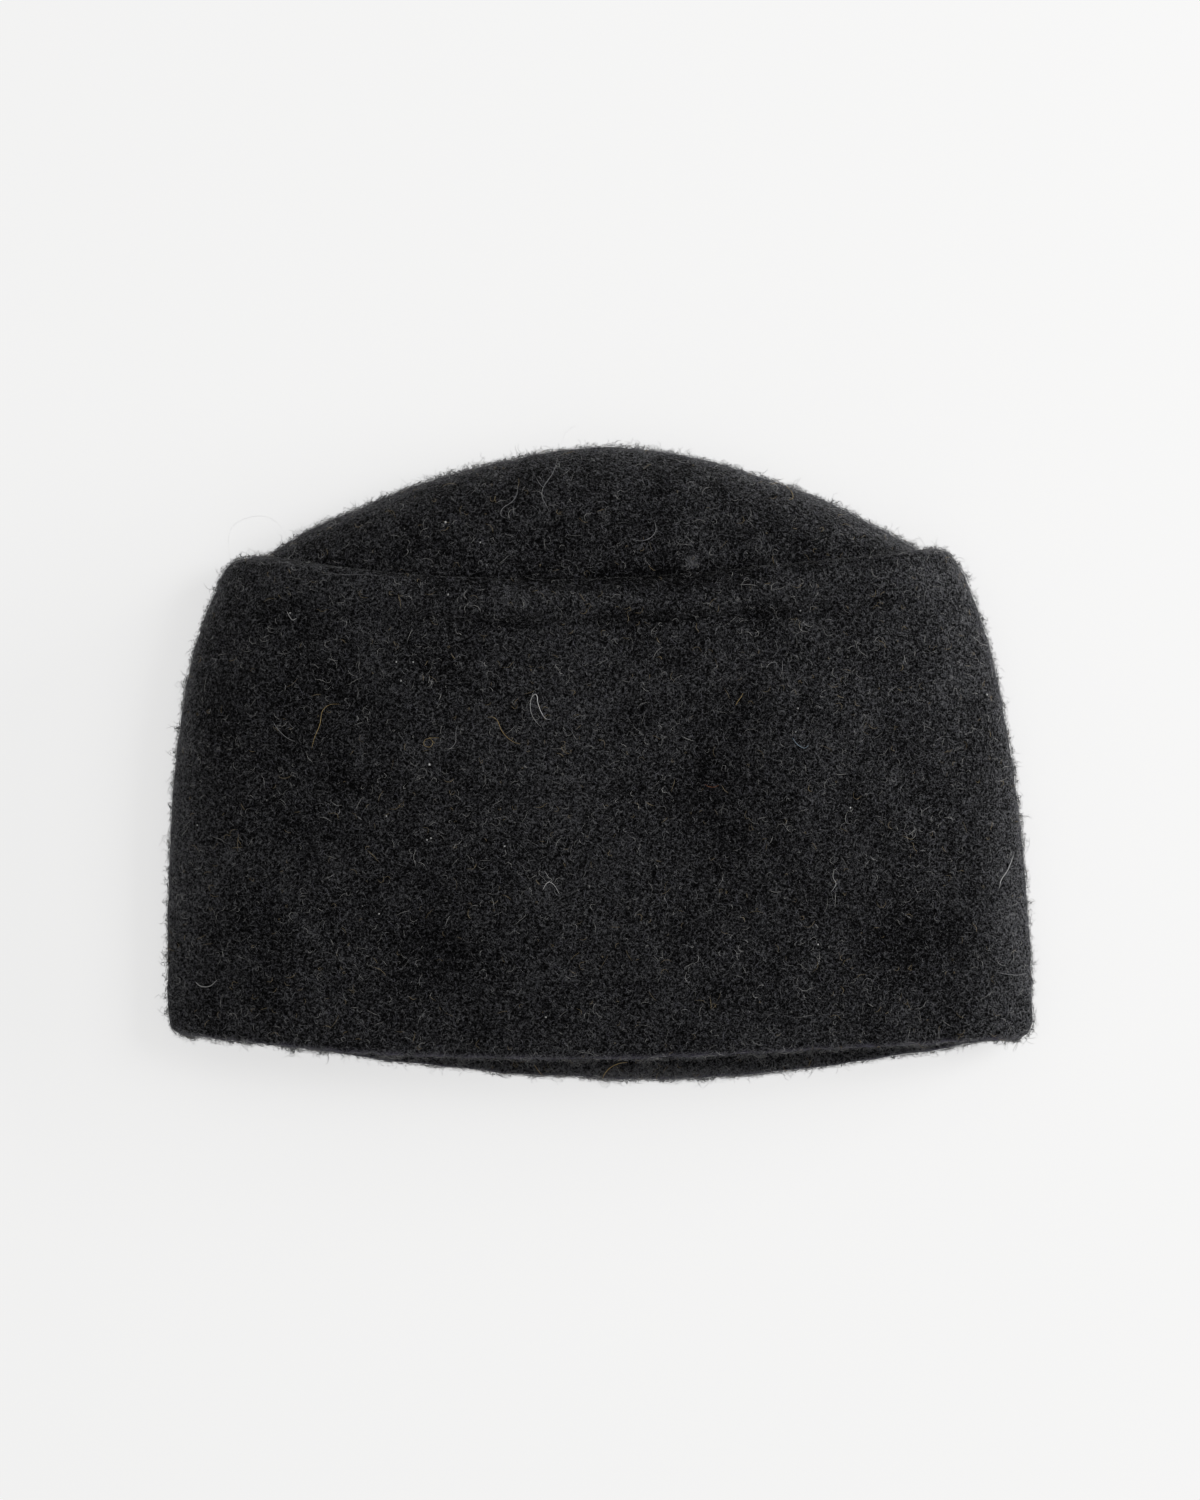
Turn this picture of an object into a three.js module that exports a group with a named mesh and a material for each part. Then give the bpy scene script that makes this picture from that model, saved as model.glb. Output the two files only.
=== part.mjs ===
// A felted wool hat, a tall side band with a domed tip sewn to it, laid flat on its back wall.
// Millimetres. +X runs across the flattened hat, +Y from the hem to the tip, and +Z up from the
// surface that it lies on, z = 0. The origin is under the middle of the hat.
import * as THREE from "three";

// Driving dimensions.
const FELT = 3; // thickness of the felt
const FOLD_FELT = 3.2; // thickness at the side folds, where the felt bunches a little
const BAND_DEPTH = 157.4; // hem to seam along the wall
const SEAM_GAP = 0.3; // clearance between the band's edge and the tip's
const FOLD_HEIGHT = 8.5; // height of the side folds above the surface
const FOLD_RUN = 10; // how far the underside takes to curve up into a fold
const FOLD_RUN_LIMIT = 0.5; // and at most this share of a ring's half width
const HEM_ROUND = 1; // rounding of the cut hem

// Where the seam and the hem cross the two folds and the middle of each wall, along Y, with the
// power of the curve that they sag in between the folds, and each wall's lean: how much deeper the
// sag is towards the right.
const SEAM = { left: 67, right: 68.8, front: 60.4, back: 53.4, frontLean: 0, backLean: 0, sag: 1.2 };
const HEM = { left: -89.4, right: -90.9, front: -96.5, back: -104.1, frontLean: -0.5, backLean: 0.2, sag: 1.3 };
const SEAM_ENDS = { left: 111.4, right: 107.4 }; // how far out the tip reaches in the seam

// The side folds and the height of the front wall, by distance down from the seam.
const BAND_SHAPE = [
  { down: 0, left: 121.6, right: 115.2, top: 29.4 },
  { down: 10, left: 126.2, right: 121.2, top: 29.8 },
  { down: 22, left: 131.5, right: 126.2, top: 30 },
  { down: 46, left: 137.2, right: 132.5, top: 29.2 },
  { down: 80, left: 140.8, right: 138, top: 27.2 },
  { down: 118, left: 142.5, right: 141.5, top: 24.2 },
  { down: 145, left: 142.5, right: 142.7, top: 21.5 },
  { down: 152, left: 142.1, right: 142.8, top: 20.8 },
  { down: 155, left: 141, right: 141.7, top: 20.4 },
  { down: BAND_DEPTH, left: 138.2, right: 138.6, top: 20.2 },
];
const RIDGE_SIDES = 0.3; // the share of the ridge's rise that shows at the folds
const BAND_FULLNESS = 3.2; // how squarely the front wall meets the folds: 2 is an ellipse

// The ridge that the turned-in seam allowance raises along the band's top edge. rise lifts the outer
// face, draw is the share of the way that each fold is pulled in to the seam's end, and ear carries
// the fold on towards the tip.
const RIDGE = [
  { down: 0, rise: -1.3, draw: 1, ear: 0 },
  { down: 0.7, rise: -0.1, draw: 0.62, ear: 2 },
  { down: 2, rise: 0.9, draw: 0.25, ear: 3 },
  { down: 4, rise: 1.3, draw: 0.08, ear: 2.4 },
  { down: 7, rise: 1.4, draw: 0, ear: 1.1 },
  { down: 10.5, rise: 1.2, draw: 0, ear: 0.3 },
  { down: 12, rise: 0.4, draw: 0, ear: 0 },
  { down: 13.2, rise: -0.5, draw: 0, ear: 0 },
  { down: 15, rise: -0.2, draw: 0, ear: 0 },
  { down: 18, rise: 0, draw: 0, ear: 0 },
];
// The same allowance inside the hat, where it lowers the ceiling.
const ALLOWANCE = [
  { down: 0, drop: 1.6, draw: 1 },
  { down: 6, drop: 2, draw: 0.2 },
  { down: 11.5, drop: 1.8, draw: 0 },
  { down: 13, drop: 0.2, draw: 0 },
  { down: 16, drop: 0, draw: 0 },
];

// The tip: a dome between the two ends of the seam. Its outline falls from the nose to the seam's
// ends by a power of the way out, with a share of a steeper curve close to each end.
const TIP = { top: 28.2, noseX: 4, noseY: 104.3, noseZ: 11.5 };
const TIP_FULLNESS = { rim: 2.8, nose: 2 };
const TIP_OUTLINE = { power: 1.68, endPower: 8, leftShare: 0.09, rightShare: 0.04 };
const TIP_FRONT_POWER = 0.85; // how soon the front of the dome turns down to the nose
const TIP_UNDER_POWER = 0.5; // how long its underside stays on the surface
const TIP_RIM = { depth: 0.9, width: 1.1 }; // how the tip's edge dips into the seam

// Shallow dents that the felt has taken, in the front wall and the tip.
const DENTS = [
  { x: -56, y: -66, wide: 22, tall: 30, depth: 1.6 },
  { x: 36, y: -20, wide: 14, tall: 34, depth: 1.5 },
  { x: 96, y: -52, wide: 26, tall: 16, depth: 1.7 },
  { x: -98, y: 26, wide: 26, tall: 22, depth: 1.1 },
  { x: 54, y: 46, wide: 26, tall: 10, depth: 0.9 },
  { x: 4, y: 68, wide: 44, tall: 8, depth: 0.8 },
];

// Divisions of a ring: over the front wall, round each fold and along the underside.
const FRONT_STEPS = 36;
const FOLD_STEPS = 6;
const UNDER_STEPS = 12;
// Distances from the seam of the rings on the plain wall, outside and inside.
const OUTER_RINGS = [24, 34, 46, 58, 72, 86, 100, 114, 128, 142, 150, 154];
const INNER_RINGS = [153, 146, 130, 111, 91, 70, 48, 30];
// Angles of the tip's rings, in degrees from the seam to the nose.
const TIP_OUTER_ANGLES = [0, 0.6, 1.6, 3.5, 8, 15, 23, 31, 40, 49, 58, 67, 75, 82, 87];
const TIP_INNER_ANGLES = [85, 76, 65, 54, 43, 32, 22, 12, 5, 0];

const lerp = THREE.MathUtils.lerp;

// The value of a column at a distance from the seam, on a smooth curve through a table's rows.
function column(table, name, down) {
  const last = table.length - 1;
  const at = (i) => table[Math.min(Math.max(i, 0), last)];
  const next = table.findIndex((row) => row.down > down);
  const i = next < 0 ? last - 1 : next - 1;
  const [before, from, to, after] = [at(i - 1), at(i), at(i + 1), at(i + 2)];
  const span = to.down - from.down;
  const t = Math.min(Math.max((down - from.down) / span, 0), 1);
  const slope = (a, b) => (b.down === a.down ? 0 : (b[name] - a[name]) / (b.down - a.down));
  const leave = slope(before, to) * span;
  const arrive = slope(from, after) * span;
  const [t2, t3] = [t * t, t * t * t];
  return (
    (2 * t3 - 3 * t2 + 1) * from[name] +
    (t3 - 2 * t2 + t) * leave +
    (3 * t2 - 2 * t3) * to[name] +
    (t3 - t2) * arrive
  );
}

// How far the dents lower the front wall at a place.
function dent(x, y) {
  let depth = 0;
  for (const d of DENTS) {
    depth += d.depth * Math.exp(-(((x - d.x) / d.wide) ** 2) - ((y - d.y) / d.tall) ** 2);
  }
  return depth;
}

// One closed section round the flattened hat: from the right fold over the front wall to the left
// fold, and back along the underside.
function ringPoints(ring) {
  const middle = (ring.right - ring.left) / 2;
  const half = (ring.right + ring.left) / 2;
  const foldY = (ring.leftY + ring.rightY) / 2;
  const place = (u, z, reachY, lean) => {
    const sag = (1 - u * u) ** ring.sag * (1 + lean * u);
    const y = foldY + ((ring.rightY - ring.leftY) / 2) * u + (reachY - foldY) * sag;
    return new THREE.Vector3(middle + half * u, y, z);
  };
  const points = [];
  for (let i = 0; i <= FRONT_STEPS; i++) {
    const angle = (Math.PI * i) / FRONT_STEPS;
    const across = Math.cos(angle);
    const u = Math.sign(across) * Math.abs(across) ** (2 / ring.fullness);
    const z = ring.fold + (ring.top - ring.fold) * Math.sin(angle);
    const point = place(u, z, ring.frontY, ring.frontLean);
    point.z -= dent(point.x, point.y) * Math.sin(angle) ** 2;
    points.push(point);
  }
  const run = Math.min(ring.run / half, FOLD_RUN_LIMIT);
  const corner = (side, i) => {
    const angle = (Math.PI / 2) * (i / FOLD_STEPS);
    const u = side * (1 - run * (1 - Math.cos(angle)));
    return place(u, ring.fold - (ring.fold - ring.floor) * Math.sin(angle), ring.backY, ring.backLean);
  };
  for (let i = 1; i <= FOLD_STEPS; i++) points.push(corner(-1, i));
  for (let i = 1; i < UNDER_STEPS; i++) {
    const u = lerp(run - 1, 1 - run, i / UNDER_STEPS);
    points.push(place(u, ring.floor, ring.backY, ring.backLean));
  }
  for (let i = FOLD_STEPS; i > 0; i--) points.push(corner(1, i));
  return points;
}

// A closed surface through rings of equal length. With two poles the ends close to points, and
// without them the last ring joins the first.
function loft(rings, poles) {
  const count = rings[0].length;
  const positions = rings.flat().flatMap((p) => [p.x, p.y, p.z]);
  const index = [];
  const strips = poles ? rings.length - 1 : rings.length;
  for (let r = 0; r < strips; r++) {
    const here = r * count;
    const next = ((r + 1) % rings.length) * count;
    for (let i = 0; i < count; i++) {
      const j = (i + 1) % count;
      index.push(here + i, here + j, next + j);
      index.push(here + i, next + j, next + i);
    }
  }
  if (poles) {
    const first = positions.length / 3;
    for (const pole of poles) positions.push(pole.x, pole.y, pole.z);
    const end = (rings.length - 1) * count;
    for (let i = 0; i < count; i++) {
      const j = (i + 1) % count;
      index.push(first, j, i);
      index.push(first + 1, end + i, end + j);
    }
  }
  const geometry = new THREE.BufferGeometry();
  geometry.setAttribute("position", new THREE.Float32BufferAttribute(positions, 3));
  geometry.setIndex(index);
  geometry.computeVertexNormals();
  return geometry;
}

// The band's section at a distance from the seam. rise lifts its outer face, and inset goes in
// through the felt.
function bandRing(down, { rise = 0, draw = 0, ear = 0, inset = 0, drop = 0 }) {
  const share = down / BAND_DEPTH;
  const sides = inset * (FOLD_FELT / FELT) - rise * RIDGE_SIDES * (1 - draw);
  const between = (name) => lerp(SEAM[name], HEM[name], share);
  return ringPoints({
    left: lerp(column(BAND_SHAPE, "left", down), SEAM_ENDS.left, draw) - sides,
    right: lerp(column(BAND_SHAPE, "right", down), SEAM_ENDS.right, draw) - sides,
    leftY: between("left") + ear,
    rightY: between("right") + ear,
    frontY: between("front"),
    backY: between("back"),
    frontLean: between("frontLean"),
    backLean: between("backLean"),
    sag: between("sag"),
    top: column(BAND_SHAPE, "top", down) + rise - inset - drop,
    floor: inset + Math.max(0, -rise),
    fold: FOLD_HEIGHT,
    run: FOLD_RUN - inset,
    fullness: BAND_FULLNESS,
  });
}

function bandGeometry() {
  const rings = RIDGE.map((row) => bandRing(row.down, row));
  for (const down of OUTER_RINGS) rings.push(bandRing(down, {}));
  rings.push(bandRing(BAND_DEPTH - HEM_ROUND, {}));
  rings.push(bandRing(BAND_DEPTH, { inset: HEM_ROUND }));
  rings.push(bandRing(BAND_DEPTH, { inset: FELT - HEM_ROUND }));
  rings.push(bandRing(BAND_DEPTH - HEM_ROUND, { inset: FELT }));
  for (const down of INNER_RINGS) rings.push(bandRing(down, { inset: FELT }));
  for (const row of [...ALLOWANCE].reverse()) rings.push(bandRing(row.down, { ...row, inset: FELT }));
  return loft(rings);
}

// The tip's section at an angle from the seam, 0, to the nose, 90 degrees.
function tipRing(degrees, inset) {
  const angle = THREE.MathUtils.degToRad(degrees);
  const [near, far] = [Math.cos(angle), Math.sin(angle)];
  const noseY = TIP.noseY - inset;
  const foldGap = inset * (FOLD_FELT / FELT);
  const rimFront = SEAM.front + SEAM_GAP;
  const rimBack = SEAM.back + SEAM_GAP;
  const fall = (share) => lerp(near ** TIP_OUTLINE.power, near ** TIP_OUTLINE.endPower, share);
  const frontY = lerp(rimFront, noseY, far ** TIP_FRONT_POWER);
  const dip = inset ? 0 : TIP_RIM.depth * Math.exp(-(frontY - rimFront) / TIP_RIM.width);
  return ringPoints({
    left: lerp(-TIP.noseX, SEAM_ENDS.left - foldGap - dip, near),
    right: lerp(TIP.noseX, SEAM_ENDS.right - foldGap - dip, near),
    leftY: lerp(noseY, SEAM.left + SEAM_GAP, fall(TIP_OUTLINE.leftShare)),
    rightY: lerp(noseY, SEAM.right + SEAM_GAP, fall(TIP_OUTLINE.rightShare)),
    frontY,
    backY: lerp(rimBack, noseY, far ** TIP_UNDER_POWER),
    frontLean: SEAM.frontLean,
    backLean: SEAM.backLean,
    sag: SEAM.sag,
    top: lerp(TIP.noseZ, TIP.top - inset, near) - dip,
    floor: lerp(TIP.noseZ, inset, near) + dip,
    fold: lerp(TIP.noseZ, FOLD_HEIGHT, near),
    run: FOLD_RUN - inset,
    fullness: lerp(TIP_FULLNESS.nose, TIP_FULLNESS.rim, near),
  });
}

function tipGeometry() {
  const outer = [...TIP_OUTER_ANGLES].reverse().map((angle) => tipRing(angle, 0));
  const inner = [...TIP_INNER_ANGLES].reverse().map((angle) => tipRing(angle, FELT));
  const nose = (inset) => new THREE.Vector3(TIP.noseX, TIP.noseY - inset, TIP.noseZ);
  return loft([...outer, ...inner], [nose(0), nose(FELT)]);
}

function feltPiece(name, geometry, color) {
  const material = new THREE.MeshStandardMaterial({ color, roughness: 0.96, metalness: 0 });
  const piece = new THREE.Mesh(geometry, material);
  piece.name = name;
  return piece;
}

const hat = new THREE.Group();
hat.add(feltPiece("side_band", bandGeometry(), 0x1e1e20));
hat.add(feltPiece("crown_tip", tipGeometry(), 0x1f1f21));

export default hat;
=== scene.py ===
"""A brimless hat of felted charcoal wool, laid flat on its back wall and seen from straight above."""

import logging
import math
from dataclasses import dataclass
from enum import Enum

import bmesh
import bpy
import numpy as np
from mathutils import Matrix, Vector, noise
from mathutils.bvhtree import BVHTree


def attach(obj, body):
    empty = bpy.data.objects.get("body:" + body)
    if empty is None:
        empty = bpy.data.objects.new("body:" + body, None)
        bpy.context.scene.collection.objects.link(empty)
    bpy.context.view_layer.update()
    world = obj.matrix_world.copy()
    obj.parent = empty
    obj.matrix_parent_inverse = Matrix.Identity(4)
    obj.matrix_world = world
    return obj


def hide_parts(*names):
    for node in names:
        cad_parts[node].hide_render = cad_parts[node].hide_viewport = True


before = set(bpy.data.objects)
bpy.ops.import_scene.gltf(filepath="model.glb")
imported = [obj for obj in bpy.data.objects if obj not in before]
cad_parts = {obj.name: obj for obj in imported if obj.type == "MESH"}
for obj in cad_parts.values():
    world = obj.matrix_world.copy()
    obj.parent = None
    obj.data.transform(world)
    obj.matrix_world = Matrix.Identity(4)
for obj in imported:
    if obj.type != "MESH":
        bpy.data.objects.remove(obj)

log = logging.getLogger("hat")

MM = 0.001  # the sizes below are in millimetres, and Blender's are in metres
BODY = "root"
SEED = 20

PHOTO_WIDTH_PX, PHOTO_HEIGHT_PX = 1200, 1500
PHOTO_MM_PER_PX = 0.33


def lerp(
    start: float | np.ndarray, end: float | np.ndarray, share: float | np.ndarray
) -> float | np.ndarray:
    """Return the value, or the array of values, a share of the way from start to end."""
    return start + (end - start) * share


def column(rows: tuple, name: str, down: float) -> float:
    """Read one column of a table at a distance from the seam, on a smooth curve through its rows.

    Args:
        rows: The table's rows, each with a field named down.
        name: The column to read.
        down: The distance from the seam.

    Returns:
        The column's value there, held level past the table's ends.
    """
    if down >= rows[-1].down:
        return getattr(rows[-1], name)
    i = next(k for k, row in enumerate(rows) if row.down > down) - 1

    def at(k: int) -> tuple[float, float]:
        """Return the distance and value of a row, kept inside the table."""
        row = rows[min(max(k, 0), len(rows) - 1)]
        return row.down, getattr(row, name)

    (x0, before), (x1, start), (x2, end), (x3, after) = at(i - 1), at(i), at(i + 1), at(i + 2)
    t = (down - x1) / (x2 - x1)
    leave = (end - before) / (x2 - x0) * (x2 - x1)
    arrive = (after - start) / (x3 - x1) * (x2 - x1)
    return (
        (2 * t**3 - 3 * t**2 + 1) * start
        + (t**3 - 2 * t**2 + t) * leave
        + (3 * t**2 - 2 * t**3) * end
        + (t**3 - t**2) * arrive
    )


@dataclass(frozen=True)
class Spot:
    """A soft oval on the front of the hat: its middle, its spread and its strength in the middle."""

    x: float
    y: float
    wide: float
    tall: float
    strength: float

    def at(self, x: np.ndarray, y: np.ndarray) -> np.ndarray:
        """Return the spot's strength at each place."""
        return self.strength * np.exp(-(((x - self.x) / self.wide) ** 2) - ((y - self.y) / self.tall) ** 2)


# shallow dents, and how deep each is
DENTS = (
    Spot(-56, -66, 22, 30, 1.6),
    Spot(36, -20, 14, 34, 1.5),
    Spot(96, -52, 26, 16, 1.7),
    Spot(-98, 26, 26, 22, 1.1),
    Spot(54, 46, 26, 10, 0.9),
    Spot(4, 68, 44, 8, 0.8),
)


# lighter and darker spots on the front, and how much lighter each is: painted shade in the dents and along
# the seam's grooves, painted light on the ridge and on the sides that turn to the lamps and the floor, and
# the wool's own lighter and darker stretches, such as a pale tuft
TONE_AND_PAINTED_SHADING_SPOTS = (
    Spot(-8, 24, 18, 34, 0.3),
    Spot(0, -38, 18, 22, 0.18),
    Spot(79, 14, 24, 28, 0.22),
    Spot(-18, -43, 6, 6, 0.3),
    # painted shade in the dents
    Spot(35, -12, 11, 26, -0.42),
    Spot(-56, -61, 12, 16, -0.5),
    Spot(99, -58, 15, 12, -0.5),
    Spot(-97, 10, 18, 26, -0.2),
    Spot(-125, 16, 8, 10, -0.15),
    # painted shade in the seam's grooves, and painted light on the ridge and beside it
    Spot(10, 48.7, 24, 3, -0.6),
    Spot(55, 49, 6, 4, -0.6),
    Spot(12, 62, 20, 3.5, -0.45),
    Spot(-32, 55.5, 16, 4, 0.3),
    Spot(84, 62.5, 16, 3.5, 0.4),
    Spot(84, 70, 14, 3, -0.3),
    Spot(-76, 59, 20, 4, 0.3),
    Spot(-76, 41, 20, 7, 0.3),
    Spot(-76, 73, 14, 4, 0.2),
    Spot(0, 86, 90, 18, -0.12),
    Spot(30, 65.6, 2.2, 2.0, 2.4),
    # painted light on the sides, where the folds turn to the lamps and the floor
    Spot(118, 46, 12, 26, 0.3),
    Spot(-138, -20, 7, 70, 0.7),
    Spot(138, -5, 10, 45, 0.35),
    Spot(138, -65, 12, 40, 0.5),
)


@dataclass(frozen=True)
class Steps:
    """Divisions of a section: over the front wall, round each fold and along the underside."""

    front: int = 190
    fold: int = 14
    under: int = 40


@dataclass(frozen=True)
class Seam:
    """Where a seam or hem crosses the folds and the middle of each wall, along Y."""

    left: float
    right: float
    front: float
    back: float
    front_lean: float
    back_lean: float
    sag: float


@dataclass(frozen=True)
class Section:
    """One closed section round the flattened hat."""

    left: float
    right: float
    left_y: float
    right_y: float
    front_y: float
    back_y: float
    front_lean: float
    back_lean: float
    sag: float
    top: float
    floor: float
    fold: float
    run: float
    fullness: float
    run_limit: float = 0.5

    def place(self, u: np.ndarray, z: np.ndarray, reach_y: float, lean: float) -> np.ndarray:
        """Turn places across the hat, from -1 to 1, and heights into points.

        Args:
            u: The places across.
            z: Their heights.
            reach_y: The Y that the section sags to in the middle.
            lean: How much deeper the sag is towards the right.

        Returns:
            An array of points.
        """
        half, middle = (self.right + self.left) / 2, (self.right - self.left) / 2
        fold_y = (self.left_y + self.right_y) / 2
        sag = np.clip(1 - u * u, 0, None) ** self.sag * (1 + lean * u)
        y = fold_y + (self.right_y - self.left_y) / 2 * u + (reach_y - fold_y) * sag
        return np.stack([middle + half * u, y, z], axis=1)

    def points(self, steps: Steps) -> np.ndarray:
        """Run round the section, from the right fold over the front and back along the underside.

        Args:
            steps: The divisions of the section.

        Returns:
            An array of points, in millimetres.
        """
        angle = np.pi * np.arange(steps.front + 1) / steps.front
        across = np.cos(angle)
        u = np.sign(across) * np.abs(across) ** (2 / self.fullness)
        rise = np.sin(angle)
        front = self.place(u, self.fold + (self.top - self.fold) * rise, self.front_y, self.front_lean)
        front[:, 2] -= sum(dent.at(front[:, 0], front[:, 1]) for dent in DENTS) * rise**2

        run = min(self.run / ((self.right + self.left) / 2), self.run_limit)
        turn = np.pi / 2 * np.arange(1, steps.fold + 1) / steps.fold
        inwards = 1 - run * (1 - np.cos(turn))
        down = self.fold - (self.fold - self.floor) * np.sin(turn)
        left = self.place(-inwards, down, self.back_y, self.back_lean)
        right = self.place(inwards, down, self.back_y, self.back_lean)[::-1]
        along = (1 - run) * (2 * np.arange(1, steps.under) / steps.under - 1)
        under = self.place(along, np.full_like(along, self.floor), self.back_y, self.back_lean)
        return np.concatenate([front, left, under, right])


@dataclass(frozen=True)
class ShapeRow:
    """The side folds and the height of the front wall, at a distance down from the seam."""

    down: float
    left: float
    right: float
    top: float


@dataclass(frozen=True)
class RidgeRow:
    """The ridge along the band's top edge: its rise, its pull to the seam's end, its ears, and how light it
    is painted: painted shade in the grooves beside it and painted light on its crest.
    """

    down: float
    rise: float
    draw: float
    ear: float
    tone: float


@dataclass(frozen=True)
class AllowanceRow:
    """The turned-in seam allowance inside the hat, where it lowers the ceiling."""

    down: float
    drop: float
    draw: float


@dataclass(frozen=True)
class Pattern:
    """The sizes that the band and the tip share."""

    felt: float = 3.0
    fold_felt: float = 3.2
    band_depth: float = 157.4
    fold_height: float = 8.5
    fold_run: float = 10.0
    seam: Seam = Seam(67, 68.8, 60.4, 53.4, -0.3, 0, 1.3)
    hem: Seam = Seam(-89.4, -90.9, -96.5, -104.1, -0.5, 0.2, 1.3)
    end_left: float = 111.4
    end_right: float = 107.4

    def between(self, name: str, share: float) -> float:
        """Return a field of the line that lies a share of the way from the seam to the hem."""
        return lerp(getattr(self.seam, name), getattr(self.hem, name), share)


def seam_share(places: np.ndarray) -> np.ndarray:
    """Return how plainly the seam and its ridge show: fully in the middle, faintly towards the folds.

    Args:
        places: Points on the front wall.

    Returns:
        A column of shares, from 0 to 1.
    """
    middle, half = 10.0, 78.0
    return np.exp(-(((places[:, :1] - middle) / half) ** 4))


def read(
    items: bpy.types.bpy_prop_collection, name: str, width: int = 1, kind: type = np.float32
) -> np.ndarray:
    """Read one property of all the elements of a mesh.

    Args:
        items: The elements.
        name: The property.
        width: How many numbers it has.
        kind: The numbers' type.

    Returns:
        An array with a row, or a single number, for each element.
    """
    values = np.empty(len(items) * width, kind)
    items.foreach_get(name, values)
    return values.reshape(-1, width) if width > 1 else values


class Lumps:
    """The uneven surface of felted wool: soft waves, knots of wool and a coarse grain."""

    WAVE_MM, WAVE_HIGH = 34.0, 0.35
    KNOT_MM, KNOT_HIGH = 5.2, 0.34
    GRAIN_MM, GRAIN_HIGH = 2.2, 0.3

    @classmethod
    def height(cls, point: Vector) -> float:
        """Return how far the felt stands out at a point, in millimetres."""
        wave = noise.noise(point / cls.WAVE_MM) * cls.WAVE_HIGH
        knot = noise.noise(point / cls.KNOT_MM) * cls.KNOT_HIGH
        return wave + knot + noise.noise(point / cls.GRAIN_MM + Vector((7, 3, 5))) * cls.GRAIN_HIGH


class Tones:
    """Linear colours of the wool, from the gaps in the felt to stray pale hairs."""

    # the colour of the gaps in the felt, which also carries painted shade: in the gaps between the strands
    # and clumps, and wherever the felt is painted darker
    GAP_AND_PAINTED_SHADE = (0.004, 0.004, 0.0045)
    BODY = (0.059, 0.0595, 0.064)
    # the paler wool, which also carries painted light: a painted highlight on the raised strands and clumps,
    # and wherever the felt is painted lighter
    WORN_AND_PAINTED_LIGHT = (0.22, 0.222, 0.235)
    HEM = (0.22, 0.204, 0.285)
    FLOOR = (0.86, 0.86, 0.86)


class Socket:
    """A node's output, or a plain number, that takes part in Python expressions."""

    def __init__(self, shader: "Shader", value: object) -> None:
        """Keep the shader that holds the nodes, and the output or number."""
        self.shader = shader
        self.value = value.value if isinstance(value, Socket) else value

    def maths(self, operation: str, *others: object) -> "Socket":
        """Add a Math node.

        Args:
            operation: The node's operation.
            others: Its further operands.

        Returns:
            The node's output.
        """
        return self.shader.node("ShaderNodeMath", {"operation": operation}, [self, *others])

    def __add__(self, other: object) -> "Socket":
        """Return the sum."""
        return self.maths("ADD", other)

    def __sub__(self, other: object) -> "Socket":
        """Return the difference."""
        return self.maths("SUBTRACT", other)

    def __rsub__(self, other: object) -> "Socket":
        """Return the difference from a number on the left."""
        return Socket(self.shader, other).maths("SUBTRACT", self)

    def __mul__(self, other: object) -> "Socket":
        """Return the product."""
        return self.maths("MULTIPLY", other)

    def between(self, low: float, high: float) -> "Socket":
        """Return the share of the way from low to high, held between 0 and 1."""
        settings = {"interpolation_type": "SMOOTHSTEP"}
        return self.shader.node("ShaderNodeMapRange", settings, [self, low, high, 0.0, 1.0])


class Shader:
    """A material under construction."""

    GRAIN_ROUGHNESS = 0.6  # how strong a noise's finer layers are

    def __init__(self, name: str) -> None:
        """Start a material with a Principled shader."""
        self.material = bpy.data.materials.new(name)
        self.material.use_nodes = True
        self.tree = self.material.node_tree
        self.surface = self.tree.nodes["Principled BSDF"]

    def node(self, kind: str, settings: dict, inputs: list | dict, output: int | str = 0) -> Socket:
        """Add a node of any type.

        Args:
            kind: The node's type.
            settings: Its properties, which are set first.
            inputs: Values or links of its sockets, by place or by name. None leaves a socket as it is.
            output: The output to return.

        Returns:
            The chosen output.
        """
        made = self.tree.nodes.new(kind)
        for name, value in settings.items():
            setattr(made, name, value)
        pairs = inputs.items() if isinstance(inputs, dict) else enumerate(inputs)
        for key, value in pairs:
            if value is not None:
                self.feed(made.inputs[key], value)
        return Socket(self, made.outputs[output])

    def feed(self, target: bpy.types.NodeSocket, value: object) -> None:
        """Link a value to an input, or set the input to it."""
        value = value.value if isinstance(value, Socket) else value
        if isinstance(value, bpy.types.NodeSocket):
            self.tree.links.new(value, target)
        else:
            target.default_value = value

    def mix(self, share: Socket, first: object, second: object) -> Socket:
        """Mix two colours by a share."""
        made = self.tree.nodes.new("ShaderNodeMix")
        made.data_type = "RGBA"
        for name, value in (("Factor_Float", share), ("A_Color", first), ("B_Color", second)):
            value = (*value, 1.0) if isinstance(value, tuple) else value
            self.feed(next(s for s in made.inputs if s.identifier == name), value)
        return Socket(self, next(s for s in made.outputs if s.identifier == "Result_Color"))

    def places(self) -> Socket:
        """Return the object's own coordinates, in metres."""
        return self.node("ShaderNodeTexCoord", {}, [], "Object")

    def grain(self, at: Socket, size_mm: float, detail: float) -> Socket:
        """Return noise whose features are a given size.

        Args:
            at: The coordinates.
            size_mm: The size of the features.
            detail: How many finer layers it has.

        Returns:
            A value around one half.
        """
        scale = 1 / (size_mm * MM)
        inputs = {"Vector": at, "Scale": scale, "Detail": detail, "Roughness": self.GRAIN_ROUGHNESS}
        return self.node("ShaderNodeTexNoise", {}, inputs)

    def finish(self, sockets: dict[str, object]) -> bpy.types.Material:
        """Feed the Principled shader's sockets by name, and return the material."""
        for name, value in sockets.items():
            value = (*value, 1.0) if isinstance(value, tuple) else value
            self.feed(self.surface.inputs[name], value)
        return self.material


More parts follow.
